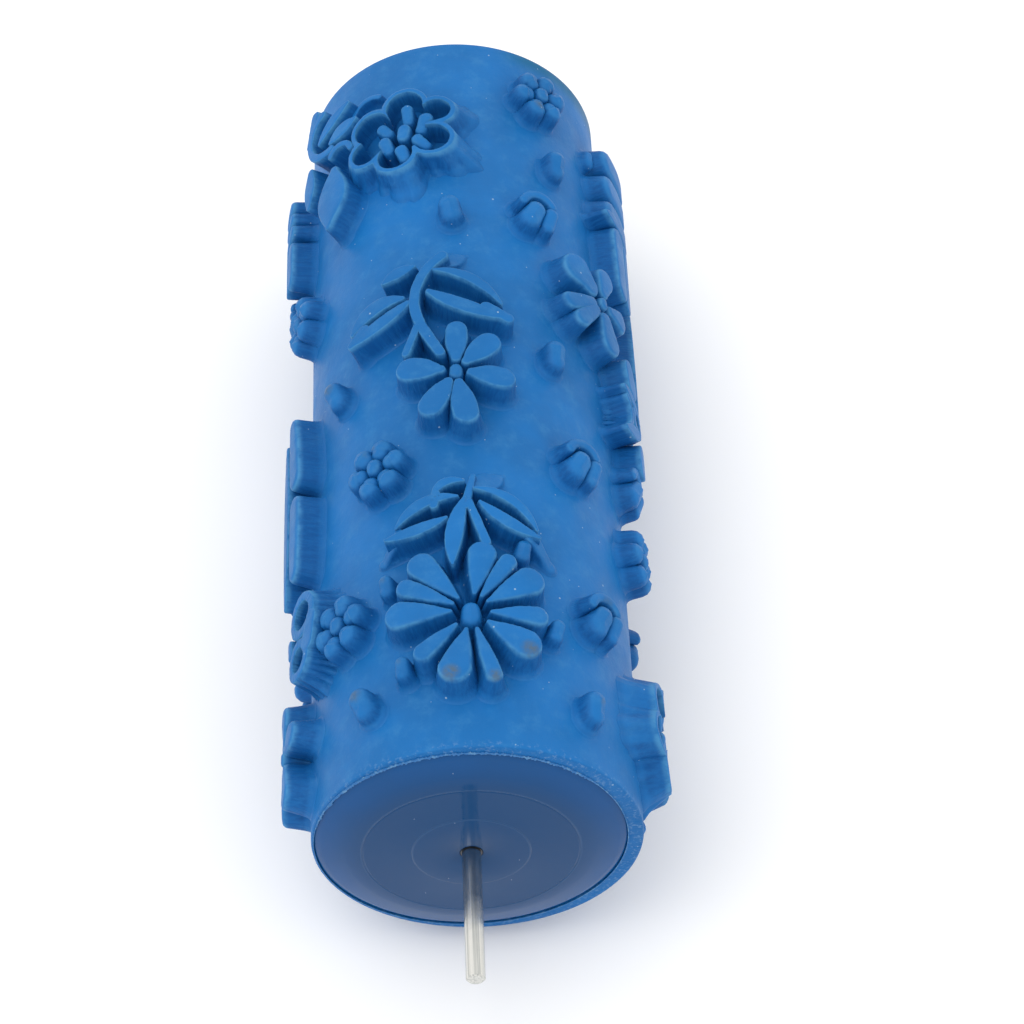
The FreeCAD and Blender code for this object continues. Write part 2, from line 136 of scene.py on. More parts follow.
def blade(u0, v0, u1, v1, left, right, top=(1.0, 1.0), flare=0.35, bevel=0.35, edge=0.3):
    """A leaf or stem between two curves; left and right are how far the curves bulge from the chord."""
    chord = np.array([u1 - u0, v1 - v0], float)
    length = np.hypot(*chord)
    count = samples(length)
    s = np.linspace(0, 1, count)
    hump = 4 * s * (1 - s)
    across = np.array([-chord[1], chord[0]]) / length
    spine = along((u0, v0), (u1, v1), count) + across * (hump * (left + right) / 2)[:, None]
    return Stroke(spine, edge + hump * abs(left - right) / 2, RELIEF_HEIGHT * between(top, s),
                  np.full(count, flare), bevel, 0.0)


def arch(u, v, radius, start, sweep, thickness=1.2, top=1.0, flare=0.3, bevel=0.35):
    """A curved wall; start and sweep are clockwise degrees from the far end's direction."""
    count = samples(radius * radians(sweep))
    bearing = np.radians(np.linspace(start, start + sweep, count))
    spine = np.stack([u + radius * np.sin(bearing), v + radius * np.cos(bearing)], 1)
    return Stroke(spine, np.full(count, thickness / 2), np.full(count, RELIEF_HEIGHT * top),
                  np.full(count, flare), bevel, 0.0)


def petal(bearing, reach, width, root=3.2, root_radius=0.45, **look):
    """One petal pointing away from the flower's middle; bearing is clockwise from the far end."""
    du, dv = sin(radians(bearing)), cos(radians(bearing))
    tip = reach - width / 2
    return drop(du * root, dv * root, root_radius, du * tip, dv * tip, width / 2, **look)


def daisy_head():
    """Eleven teardrop petals, wide and narrow, round a button: each one's bearing, reach and width."""
    wide_and_narrow = [(11, 15.3, 5.1), (33, 14.6, 3.2), (57, 15.9, 5.7), (92, 14.2, 4.0), (125, 14.8, 6.0),
                       (165, 15.8, 2.9), (195, 15.6, 5.9), (227, 13.9, 3.6), (274, 16.0, 5.7),
                       (299, 15.4, 3.6), (321, 16.7, 5.2)]
    look = {"belly": 0.3, "top": (0.86, 1.0), "flare": (0.2, 1.2), "bevel": 0.7}
    petals = [petal(bearing, reach, width, 4.1, 0.4, **look) for bearing, reach, width in wide_and_narrow]
    return petals + [drop(0, -0.9, 1.8, 0, 0.9, 1.6, bevel=1.5, top=(0.82, 0.82), dome=0.3)]


FAT_DAISY_PETALS = 13


def fat_daisy():
    """A daisy of close, equal petals."""
    look = {"belly": 0.3, "top": (0.9, 1.0), "flare": (0.1, 0.7), "bevel": 0.6}
    petals = [petal(index * 360 / FAT_DAISY_PETALS + 8, 13.2, 4.7, **look)
              for index in range(FAT_DAISY_PETALS)]
    return petals + [drop(0, -0.8, 1.6, 0, 1.2, 1.4, bevel=1.2)]


def big_daisy():
    """The daisy with a stem and long leaves towards the far end."""
    stem = [blade(-3.0, 10.2, -0.5, 25.2, 2.1, -0.7), drop(3.2, 15.0, 0.9, 0.4, 24.2, 0.7),
            drop(-0.4, 23.4, 0.9, 1.2, 31.0, 0.6, top=(1.0, 0.8))]
    left_leaf = [blade(-13.4, 20.4, -1.9, 25.6, 2.9, 1.0), blade(-15.6, 18.4, -4.0, 20.9, 0.3, -1.7),
                 drop(-18.4, 17.4, 1.0, -13.4, 19.2, 1.4, top=(0.12, 0.9), bevel=0.6)]
    right_leaf = [blade(1.6, 27.4, 12.8, 18.8, 2.9, 1.4), blade(2.4, 24.2, 13.2, 17.2, 0.2, -1.9),
                  drop(12.2, 17.8, 1.5, 17.4, 15.0, 1.1, top=(0.9, 0.12), bevel=0.6)]
    far_leaves = [blade(-6.4, 26.0, -0.6, 29.2, 2.2, 0.9), drop(-6.2, 24.0, 0.8, -5.6, 26.4, 0.8),
                  blade(0.8, 28.2, 7.4, 34.6, 2.0, -1.9, top=(0.8, 0.05))]
    return daisy_head() + stem + left_leaf + right_leaf + far_leaves


def small_daisy():
    """Six loose petals on a curved stem with leaves."""
    petals = [(2, 12.1, 4.0), (44, 11.8, 4.8), (101, 11.6, 4.8), (171, 13.2, 4.8), (211, 12.2, 5.0),
              (280, 11.8, 5.4)]
    look = {"belly": 0.55, "top": (0.94, 0.98), "flare": (0.3, 1.1), "bevel": 0.5}
    flower = [petal(bearing, reach, width, 3.2, 1.0, **look) for bearing, reach, width in petals]
    button = [drop(0, -0.3, 1.3, 0, 0.7, 1.2, bevel=0.9, top=(0.9, 0.9))]
    stem = [arch(6.3, 18.2, 14.0, 248, 76, 2.1), drop(-6.6, 12.2, 1.1, -3.0, 4.6, 1.0),
            drop(-7.3, 11.8, 0.8, -9.6, 5.6, 0.8)]
    left_leaf = [blade(-21.2, 15.4, -10.3, 20.0, 3.1, 0.6, edge=0.6),
                 blade(-21.6, 12.6, -9.2, 18.5, 0.3, -1.6, edge=0.6),
                 drop(-21.6, 12.8, 0.9, -18.6, 15.0, 1.4, flare=(1.2, 0.6)),
                 blade(-14.2, 25.2, -7.6, 27.6, 1.6, -0.7)]
    right_leaf = [blade(-3.6, 26.0, 9.2, 17.0, 2.7, 1.0), blade(-4.8, 20.6, 9.8, 13.6, 0.0, -2.2, edge=0.5),
                  drop(6.4, 15.8, 1.3, 10.6, 13.4, 1.1, flare=(0.4, 0.9))]
    far_leaf = [blade(-4.6, 28.0, 2.2, 33.8, 2.2, -1.9, top=(0.85, 0.05))]
    return flower + button + stem + left_leaf + right_leaf + far_leaf


def rose():
    """An open flower: pockets inside a thin pleated wall whose petals point outwards at the foot."""
    pockets = [(-6.2, 4.0, 3.9), (1.0, 7.4, 3.9), (7.4, 4.8, 3.0), (6.4, -3.0, 3.7), (-1.2, -5.8, 3.7),
               (-7.6, -2.2, 3.2)]
    tips = [(285, 1.2), (350, 1.0), (52, 2.0), (116, 2.4), (176, 3.4), (240, 1.6)]
    look = {"bevel": 1.0, "flare": (0.3, 0.15)}
    stamens = [drop(1.5, 3.9, 1.2, 1.4, 6.8, 1.3, top=(0.82, 0.95), **look),
               drop(-3.0, 1.8, 1.2, -4.3, 3.4, 1.3, top=(0.85, 0.9), **look),
               drop(0.5, -0.5, 1.4, 0.7, 1.3, 1.4, top=(0.94, 0.94), **look),
               drop(4.3, 0.9, 1.3, 5.4, 3.2, 1.6, top=(0.82, 0.95), **look),
               drop(-3.1, -3.1, 1.3, -3.7, -0.9, 1.4, top=(0.86, 0.95), **look),
               drop(5.2, -3.9, 1.2, 3.5, -2.0, 1.3, top=(0.82, 0.92), **look),
               drop(0.6, -6.4, 1.3, -0.1, -4.2, 1.4, top=(0.86, 0.93), **look)]
    return [Crown(0, 0, pockets, 5.4, 1.05, tips)] + stamens


def rose_leaves():
    """The leaves to the rose's left, placed by the rose's middle."""
    loop = [arch(-18.4, 11.2, 6.2, 170, 175, 1.9), drop(-24.8, 12.0, 1.1, -22.6, 18.6, 1.4),
            blade(-21.0, 9.4, -12.4, 15.2, 1.4, -0.6, edge=0.5),
            blade(-17.4, 6.8, -10.6, 9.4, 1.5, -1.1, edge=0.5)]
    upper = [arch(-8.4, 11.6, 4.4, 270, 120, 1.3, top=0.55), arch(-14.8, 1.4, 3.0, 300, 140, 1.4)]
    broad = [drop(-16.4, -1.8, 1.1, -18.2, -16.2, 0.9, belly=3.2, bevel=0.6, flare=(0.3, 1.2)),
             drop(-24.4, 3.6, 1.0, -25.2, -5.4, 0.9, belly=1.1, flare=(0.3, 0.9))]
    return loop + upper + broad


CLOVER_LOBES = 6


def clover():
    """A small flower of round lobes about a round middle."""
    look = {"bevel": 1.9, "flare": (0.2, 0.7), "top": (0.84, 0.9), "belly": 0.1, "dome": 0.45}
    lobes = [petal(index * 360 / CLOVER_LOBES + 20, 6.4, 4.3, 3.6, 1.8, **look)
             for index in range(CLOVER_LOBES)]
    return lobes + [drop(0, -0.3, 1.5, 0, 0.4, 1.5, bevel=1.4, top=(0.9, 0.9), dome=0.4)]


def grooved_flower():
    """Broad petals, the lower left one split by a groove, about a small middle."""
    look = {"bevel": 0.8, "flare": (0.4, 1.1), "top": (0.95, 0.98)}
    whole = [petal(303, 12.4, 7.4, 4.6, 2.3, **look), petal(12, 10.2, 5.6, 3.8, 1.5, **look),
             petal(84, 9.8, 5.2, 3.4, 1.3, **look), petal(166, 12.0, 6.0, 3.8, 1.9, **look)]
    split = [petal(221, 12.4, 3.9, 4.0, 1.5, **look), petal(243.5, 12.6, 3.9, 4.0, 1.5, **look)]
    return whole + split + [drop(0, -0.3, 1.2, 0, 0.5, 1.1, bevel=0.9)]


def pods():
    """Two seed pods, each a closed wall round a hollow."""
    return [Crown(0.9, 4.9, [], 2.9, 1.9, [(90, 0.8)]), Crown(-0.6, -4.3, [], 2.4, 1.9, [(170, 1.2)]),
            drop(3.2, -2.4, 2.0, 4.6, 2.4, 1.6), drop(-4.4, -1.0, 1.0, -4.6, 1.6, 1.0)]


def holed_leaf():
    """A leaf with a small hole, between curled flaps."""
    wall = [Crown(2.6, -1.4, [], 1.6, 1.9, [(230, 1.6), (300, 1.2)])]
    flaps = [arch(-5.4, -2.6, 4.2, 30, 110, 1.2), blade(-4.6, -7.8, 3.4, -4.4, 0.9, -1.1, edge=0.6),
             blade(-4.4, 3.0, 3.0, 1.2, 0.9, -0.7, edge=0.5)]
    blocks = [drop(0.6, 6.4, 2.9, -0.8, 9.6, 2.3, flare=(0.4, 0.9)), drop(4.8, -11.5, 2.4, 5.2, -8.0, 2.4)]
    return wall + flaps + blocks


def paired_leaf():
    """Two round-ended blocks in line, beside one long blade."""
    look = {"bevel": 0.9, "flare": (0.5, 0.5), "belly": 0.3}
    blocks = [drop(0.6, 4.2, 2.6, -0.4, 17.4, 2.0, **look), drop(0.4, -18.6, 2.1, 0.8, -3.4, 2.5, **look)]
    return blocks + [blade(-5.6, -23.0, -4.6, 15.0, 2.2, -1.4, edge=0.7)]


def block_leaf():
    """A broad leaf with a thin flap at its far end."""
    body = [drop(1.0, -6.6, 2.7, 0.4, 6.2, 3.1, bevel=0.7, flare=(0.5, 0.6)),
            drop(4.6, -8.8, 1.6, 5.4, 7.0, 1.8)]
    return body + [blade(-5.4, 10.0, 2.8, 10.2, 1.2, -0.6, edge=0.5)]


def ridged_leaf():
    """Three fat ridges side by side."""
    look = {"bevel": 1.3, "flare": (0.7, 0.2), "top": (0.9, 1.0)}
    return [drop(-3.2, v, 3.1, 6.6, v + 0.4, 3.3, **look) for v in (-7.4, 0.0, 7.4)]


def leafy_bud():
    """Three narrow petals over a long block."""
    look = {"bevel": 0.8, "flare": (0.3, 0.6)}
    petals = [drop(-3.2, v - 0.6, 1.1, 2.3, v, 1.5, **look) for v in (10.6, 7.2, 3.8)]
    return petals + [drop(0.4, -8.0, 2.3, 0.8, -1.2, 2.5, **look), drop(-4.6, -6.8, 1.6, -5.0, 3.0, 1.8)]


def twin_bud():
    """A kernel in front of a curled sepal."""
    kernel = drop(-1.3, -1.9, 2.2, -0.3, 0.2, 2.1, bevel=1.7, flare=(1.1, 0.3), top=(0.84, 0.93), dome=0.25)
    side = drop(2.9, -2.6, 1.5, 3.4, 0.2, 1.5, bevel=1.1, flare=(0.8, 0.4), top=(0.72, 0.88))
    return [kernel, side, arch(0.3, 0.6, 3.6, 290, 130, 2.0, top=0.86, flare=0.7, bevel=0.9)]


def bud():
    return [drop(0.2, -1.3, 1.9, -0.3, 0.7, 2.2, bevel=1.7, flare=(1.0, 0.2), top=(0.7, 0.86), dome=0.3)]


def tiny_bud():
    return [drop(0, -0.7, 1.4, 0.2, 0.8, 1.35, bevel=1.2, flare=(0.7, 0.2), top=(0.68, 0.84), dome=0.2)]


def low_bud():
    return [drop(0, -0.8, 1.6, 0.2, 0.9, 1.5, bevel=1.3, flare=(0.5, 0.3), top=(0.46, 0.46), dome=0.3)]


# Where each motif's middle lies: degrees round the sleeve from +X towards +Z, and the distance from the
# near end. The stretch from 0 to 180 degrees is the side that faces up.
LAYOUT = [
    (big_daisy, [(90.0, 26.0), (232.0, 24.0), (233.0, 106.0), (308.0, 124.0)]),
    (fat_daisy, [(258.0, 84.0)]),
    (small_daisy, [(92.0, 82.5), (281.0, 50.0)]),
    (rose, [(108.0, 148.0), (3.0, 18.0), (203.0, 66.0), (240.0, 157.0), (300.0, 20.0), (312.0, 66.0)]),
    (rose_leaves, [(108.0, 148.0), (240.0, 157.0)]),
    (clover, [(57.0, 163.0), (120.0, 63.5), (135.5, 31.5), (163.0, 117.5), (12.5, 56.5), (272.0, 117.0),
              (322.0, 149.0), (196.0, 150.0), (286.0, 165.0), (200.0, 44.0)]),
    (grooved_flower, [(35.5, 111.5), (173.0, 16.0), (262.0, 20.0)]),
    (pods, [(153.0, 34.5), (320.0, 38.0)]),
    (holed_leaf, [(18.5, 91.5), (240.0, 62.0)]),
    (paired_leaf, [(160.0, 71.5), (347.0, 119.0)]),
    (block_leaf, [(20.0, 130.5)]),
    (ridged_leaf, [(15.0, 151.5)]),
    (leafy_bud, [(169.0, 141.0), (288.0, 86.0)]),
    (twin_bud, [(61.5, 128.5), (49.5, 66.5), (44.5, 31.5), (13.0, 73.5), (336.0, 50.0), (279.0, 100.0),
                (324.0, 98.0), (184.0, 128.0)]),
    (bud, [(51.0, 145.5), (92.0, 127.0), (138.0, 88.0), (126.5, 12.5), (49.5, 11.0), (56.5, 92.0),
           (214.0, 142.0), (271.0, 134.0), (330.0, 165.0), (333.0, 10.0)]),
    (tiny_bud, [(117.0, 35.5), (112.0, 16.5), (73.0, 41.0), (63.0, 24.5), (188.0, 97.0), (262.0, 46.0),
                (252.0, 34.0), (276.0, 150.0)]),
    (low_bud, [(28.0, 157.5)]),
]


def stroke_columns(stroke):
    """Round the outline clockwise: each column's spine point, by number, and its outward direction."""
    spine = stroke.spine
    tangent = np.gradient(spine, axis=0)
    tangent /= np.hypot(*tangent.T)[:, None]
    left = np.stack([-tangent[:, 1], tangent[:, 0]], 1)
    last = len(spine) - 1
    turns = np.linspace(0, pi, END_POINTS + 2)[1:-1]
    end_turn = [left[last] * cos(a) + tangent[last] * sin(a) for a in turns]
    start_turn = [-left[0] * cos(a) - tangent[0] * sin(a) for a in turns]
    there, back = list(range(last + 1)), list(range(last, -1, -1))
    order = np.array(there + [last] * END_POINTS + back + [0] * END_POINTS)
    outward = np.concatenate([left, end_turn, -left[::-1], start_turn])
    return order, outward


def stroke_mesh(stroke):
    """A closed shape from rings: root, foot fillet, drafted wall, rounded edge and top."""
    order, outward = stroke_columns(stroke)
    count = len(order)
    width = stroke.half_width[order]
    wobble = smooth_noise(count, WALL_WOBBLE, WALL_WOBBLE) * np.minimum(1, width)
    top = (stroke.top - RANDOM.uniform(LEAST_SINK, MOST_SINK))[order]
    flare = stroke.flare[order]
    fillet = np.clip(top / FULL_FILLET_HEIGHT, SMALLEST_FILLET, 1)
    bevel = np.minimum.reduce([np.full(count, stroke.bevel), BEVEL_WIDTH_SHARE * width,
                               BEVEL_HEIGHT_SHARE * top])
    flat_half = stroke.half_width - np.minimum(stroke.bevel, BEVEL_WIDTH_SHARE * stroke.half_width)
    dome = np.minimum(stroke.dome, DOME_SLOPE * flat_half)

    def draft(height):
        return flare * (1 - np.clip(height / top, 0, 1)) ** DRAFT_POWER

    rings = [(flare + ROOT_SPREAD * fillet, np.full(count, -ROOT_DEPTH))]
    rings += [(draft(height * fillet) + spread * fillet, height * fillet) for height, spread in FOOT_FILLET]
    rings += [(draft(level * (top - bevel)), np.maximum(level * (top - bevel), FILLET_TOP * fillet))
              for level in WALL_LEVELS]
    for angle in BEVEL_ANGLES:
        height = top - bevel + bevel * sin(radians(angle))
        rings.append((draft(height) - bevel * (1 - cos(radians(angle))), height))
    rings.append((-(bevel + width) / 2, top + dome[order] * DOME_SHOULDER))

    points = []
    for spread, height in rings:
        reach = np.maximum(width + spread + wobble, SMALLEST_REACH)
        points.append(np.column_stack([stroke.spine[order] + outward * reach[:, None], height]))
    crest = np.column_stack([stroke.spine, (stroke.top - CREST_SINK) + dome])
    root = np.column_stack([stroke.spine, np.full(len(stroke.spine), -ROOT_DEPTH)])
    return np.concatenate(points + [crest, root]), loft_faces(len(rings), order, len(stroke.spine))


def loft_faces(ring_count, order, spine_count):
    """Quads between the rings, closed to the crest line on top and to the root line below."""
    count = len(order)
    crest = ring_count * count
    root = crest + spine_count
    faces = []
    for column in range(count):
        after = (column + 1) % count
        for ring in range(ring_count - 1):
            low, high = ring * count, (ring + 1) * count
            faces.append((low + column, high + column, high + after, low + after))
        top = (ring_count - 1) * count
        here, there = int(order[column]), int(order[after])
        upper = [top + column, crest + here, crest + there, top + after]
        lower = [after, root + there, root + here, column]
        if here == there:
            upper.pop(2)
            lower.pop(2)
        faces += [tuple(upper), tuple(lower)]
    return faces


# A crown, the pleated wall of a rose or a pod
CROWN_SAMPLES = 240
CROWN_FLARE = 0.7
CROWN_LEVELS = (0.7, 0.45, 0.22)
CROWN_DRAFT_POWER = 1.15
CROWN_FLUTES, CROWN_SWELL = 0.06, 0.05
CROWN_FOOT = [(0.15, 0.35), (0.34, 0.13), (0.55, 0.02), (0.7, -ROOT_DEPTH)]      # spread and height
PLEAT_COUNT = 20
PLEAT_DEPTH = 0.9
PLEAT_SWAY = 0.7             # makes the pleats unequal
TIP_HALF_ANGLE = 25.0
POCKET_DRAFT = 0.4
POCKET_HALF_DRAFT = 0.4 * POCKET_DRAFT       # at half height
POCKET_FOOT = [(0.4, -ROOT_DEPTH), (0.3, 0.03), (0.0, 0.4)]                      # spread and height
RIM_BEVEL = 0.3
RIM_CUT = 0.3 * RIM_BEVEL    # the middle of the rounded rim
RIM_SINK, RIM_SWELL = 0.02, 0.06


def far_edge(pockets, core, grow, bearing):
    """How far from the middle the outline of the joined pockets and round core lies at each bearing."""
    edge = np.full(len(bearing), core + grow)
    for u, v, radius in pockets:
        distance, heading = np.hypot(u, v), np.arctan2(u, v)
        turn = bearing - heading
        room = (radius + grow) ** 2 - (distance * np.sin(turn)) ** 2
        reach = distance * np.cos(turn) + np.sqrt(np.maximum(room, 0))
        edge = np.maximum(edge, np.where((room > 0) & (reach > 0), reach, 0))
    return edge


def crown_mesh(crown):
    """A ring-shaped wall: pocket floor, inner wall, thin rim, pleated outer wall with pointed feet."""
    bearing = np.linspace(0, FULL_TURN, CROWN_SAMPLES, endpoint=False)
    inner = far_edge(crown.pockets, crown.core, 0.0, bearing)
    rim = far_edge(crown.pockets, crown.core, crown.rim, bearing)
    foot = rim + CROWN_FLARE
    for heading, length in crown.tips:
        away = np.abs((np.degrees(bearing) - heading + 180) % 360 - 180)
        foot += length * np.clip(1 - away / TIP_HALF_ANGLE, 0, 1)
    foot += PLEAT_DEPTH * np.abs(np.sin(bearing * PLEAT_COUNT / 2 + PLEAT_SWAY * np.sin(3 * bearing)))
    wobble = smooth_noise(CROWN_SAMPLES, CROWN_FLUTES, CROWN_SWELL)
    top = RELIEF_HEIGHT - RIM_SINK + smooth_noise(CROWN_SAMPLES, 0.0, RIM_SWELL) - RIM_SWELL
    profile = [(inner - POCKET_DRAFT - spread, height) for spread, height in POCKET_FOOT]
    profile += [(inner - POCKET_HALF_DRAFT, top / 2)]
    profile += [(inner, top - RIM_BEVEL), (inner + RIM_CUT, top - RIM_CUT), (inner + RIM_BEVEL, top)]
    profile += [(rim - RIM_BEVEL, top), (rim - RIM_CUT, top - RIM_CUT), (rim, top - RIM_BEVEL)]
    profile += [(between((rim, foot), (1 - level) ** CROWN_DRAFT_POWER), top * level)
                for level in CROWN_LEVELS]
    profile += [(foot + spread, height) for spread, height in CROWN_FOOT]
    points = []
    for reach, height in profile:
        reach = reach + wobble
        points.append(np.column_stack([crown.u + reach * np.sin(bearing), crown.v + reach * np.cos(bearing),
                                       np.broadcast_to(height, reach.shape)]))
    return np.concatenate(points), ring_faces(len(profile), CROWN_SAMPLES)


def ring_faces(ring_count, count):
    """Quads of a closed tube of rings, the last joined to the first."""
    faces = []
    for ring in range(ring_count):
        low, high = ring * count, (ring + 1) % ring_count * count
        for column in range(count):
            after = (column + 1) % count
            faces.append((low + column, low + after, high + after, high + column))
    return faces


def wrapped(points, angle, axial):
    """The drawing's (u, v, h) points stood on the sleeve, in metres. A shape's walls stay parallel."""
    middle = (points[:, 0].min() + points[:, 0].max()) / 2
    radius = np.minimum(GROUND_RADIUS + points[:, 2], RELIEF_RADIUS - LIMIT_GAP)
    turn = radians(angle) - middle / RELIEF_RADIUS - np.arcsin((points[:, 0] - middle) / radius)
    return MM * np.column_stack([SLEEVE_OFFSET + radius * np.cos(turn), axial + points[:, 1] - HALF_LENGTH,
                                 radius * np.sin(turn)])


def circle(radius, y, angle, middle=0.0):
    """Points at each angle round a line along Y at x = middle."""
    return np.column_stack([middle + radius * np.cos(angle), np.broadcast_to(y, angle.shape),
                            radius * np.sin(angle)])


def new_object(name, points, faces, collection=None):
    """A mesh object. The faces of a closed shape are turned outwards."""
    mesh = bpy.data.meshes.new(name)
    mesh.from_pydata(points.tolist(), [], faces)
    corners = np.array([points[face[0]] for face in faces])
    second = np.array([points[face[1]] for face in faces])
    third = np.array([points[face[2]] for face in faces])
    if np.einsum("ij,ij->i", corners, np.cross(second, third)).sum() < 0:
        mesh.flip_normals()
    piece = bpy.data.objects.new(name, mesh)
    (collection or bpy.context.scene.collection).objects.link(piece)
    return piece


def joined(name, body, others):
    """One closed mesh from a body and the closed shapes that overlap it."""
    cluster = bpy.data.collections.new(name + "_shapes")
    bpy.context.scene.collection.children.link(cluster)
    for points, faces in others:
        new_object("shape", points, faces, cluster)
    union = body.modifiers.new("union", "BOOLEAN")
    union.operation = "UNION"
    union.operand_type = "COLLECTION"
    union.collection = cluster
    union.solver = "MANIFOLD"
    evaluated = body.evaluated_get(bpy.context.evaluated_depsgraph_get())
    mesh = bpy.data.meshes.new_from_object(evaluated)
    mesh.name = name
    for shape in list(cluster.objects):
        bpy.data.objects.remove(shape)
    bpy.data.collections.remove(cluster)
    bpy.data.objects.remove(body)
    piece = bpy.data.objects.new(name, mesh)
    bpy.context.scene.collection.objects.link(piece)
    return piece


DRUM_COLUMNS = 240
DRUM_STEP = 1.0
END_ROUND = 0.45
MOUTH_CLEARANCE = 0.14
MOUTH_DEPTH = 2.0
ROUNDING_ANGLES = (30, 60, 90)


def drum():
    """The plain ground: rounded ends, and a bore for the core that stands off the sleeve's own axis."""
    angle = np.linspace(0, FULL_TURN, DRUM_COLUMNS, endpoint=False)
    straight = HALF_LENGTH - END_ROUND
    outline = [(GROUND_RADIUS, y) for y in np.linspace(-straight, straight, int(2 * straight / DRUM_STEP))]
    far = [(GROUND_RADIUS - END_ROUND * (1 - cos(turn)), HALF_LENGTH - END_ROUND * (1 - sin(turn)))
           for turn in map(radians, ROUNDING_ANGLES)]
    outline = [(radius, -y) for radius, y in reversed(far)] + outline + far
    bore = [(CORE_RADIUS + MOUTH_CLEARANCE, HALF_LENGTH), (CORE_RADIUS, HALF_LENGTH - MOUTH_DEPTH)]
    bore += [(radius, -y) for radius, y in reversed(bore)]
    rings = [circle(radius, y, angle, SLEEVE_OFFSET) for radius, y in outline]
    rings += [circle(radius, y, angle) for radius, y in bore]
    return new_object("drum", MM * np.concatenate(rings), ring_faces(len(rings), DRUM_COLUMNS))


def pattern_sleeve():
    """The drum with every motif of the layout moulded onto it."""
    shapes = []
    for motif, places in LAYOUT:
        for angle, axial in places:
            for shape in motif():
                build = stroke_mesh if isinstance(shape, Stroke) else crown_mesh
                points, faces = build(shape)
                shapes.append((wrapped(points, angle, axial), faces))
    return joined("rubber_sleeve", drum(), shapes)


# The end caps, turned about the axle. The far cap is drawn and the near one is its mirror image.
BOSS_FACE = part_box("far_end_cap")[1].y / MM
BOSS_HEIGHT = 0.15
BOSS_RADIUS = 10.65
BOSS_EDGE = 0.1              # how far the boss's edge slopes
DISC_FACE = BOSS_FACE - BOSS_HEIGHT
DISC_RADIUS = 19.8
# A groove just inside the disc's radius: how far in, and how deep
DISC_GROOVE = [(0.45, 0.0), (0.3, 0.1), (0.12, 0.1), (0.0, 0.02)]
# From the disc to the rim the face slopes, a little proud of straight at two places: distance, how proud
DISC_SIDE, DISC_SIDE_PROUD = 3.0, 0.12
RIM_SIDE, RIM_SIDE_PROUD = 1.4, 0.05
RIM_INSET = 0.15             # the cap's rim lies this far inside the sleeve's end
FACE_HOLE_RADIUS = 2.1
CAP_WALL = 2.4
FLANGE_THICKNESS = 2.2
CORE_WALL = 2.5
CORE_BORE = CORE_RADIUS - CORE_WALL
SPIGOT_WALL = 2.2
SPIGOT_BORE = CORE_BORE - SPIGOT_WALL
SPIGOT_LENGTH = 12.0
HUB_RADIUS = 7.0
HUB_LENGTH = 14.0
BUSH_RADIUS = 3.5
BUSH_LENGTH = 9.0
RIB_COUNT = 6
RIB_THICKNESS = 1.6
RIB_OVERLAP = 0.5            # into the hub and the spigot
RIB_FACE_OVERLAP = 0.2       # into the cap's face
RIB_END_INSET = 0.6          # at least this far inside the sleeve's end
CAP_COLUMNS = 192
SMALL_ROUND = 0.12


def turned_mesh(profile):
    """A closed ring-shaped solid from its (radius, y) outline."""
    angle = np.linspace(0, FULL_TURN, CAP_COLUMNS, endpoint=False)
    rings = [circle(radius, y, angle) for radius, y in profile]
    return MM * np.concatenate(rings), ring_faces(len(profile), CAP_COLUMNS)


def softened(outline, radius):
    """The outline with each corner cut twice, so that it catches the light as a moulded edge."""
    soft = []
    for index, corner in enumerate(outline):
        corner = np.array(corner)
        before = np.array(outline[index - 1]) - corner
        after = np.array(outline[(index + 1) % len(outline)]) - corner
        cut = min(radius, np.hypot(*before) / 3, np.hypot(*after) / 3)
        start = corner + before / np.hypot(*before) * cut
        end = corner + after / np.hypot(*after) * cut
        soft += [tuple(start), tuple((start + end + 2 * corner) / 4), tuple(end)]
    return soft


def cap_outline():
    """From the hole in the face outwards, round the rim and the spigot, and back along the hub."""
    flange_back = HALF_LENGTH - FLANGE_THICKNESS
    face_back, spigot_back = DISC_FACE - CAP_WALL, flange_back - SPIGOT_LENGTH
    hub_back = DISC_FACE - CAP_WALL - HUB_LENGTH
    bush_seat = hub_back + BUSH_LENGTH
    slope = (DISC_FACE - HALF_LENGTH) / (CORE_RADIUS - DISC_RADIUS)
    face = [(BOSS_RADIUS, BOSS_FACE), (BOSS_RADIUS + BOSS_EDGE, DISC_FACE)]
    face += [(DISC_RADIUS - inset, DISC_FACE - depth) for inset, depth in DISC_GROOVE]
    face += [(DISC_RADIUS + DISC_SIDE, DISC_FACE - DISC_SIDE * slope + DISC_SIDE_PROUD),
             (CORE_RADIUS - RIM_SIDE, HALF_LENGTH + RIM_SIDE * slope + RIM_SIDE_PROUD)]
    return [(FACE_HOLE_RADIUS, BOSS_FACE), *face,
            (CORE_RADIUS, HALF_LENGTH - RIM_INSET), (CORE_RADIUS, flange_back),
            (CORE_BORE, flange_back), (CORE_BORE, spigot_back), (SPIGOT_BORE, spigot_back),
            (SPIGOT_BORE, flange_back), (DISC_RADIUS, face_back), (HUB_RADIUS, face_back),
            (HUB_RADIUS, hub_back), (BUSH_RADIUS, hub_back), (BUSH_RADIUS, bush_seat),
            (FACE_HOLE_RADIUS, bush_seat)]


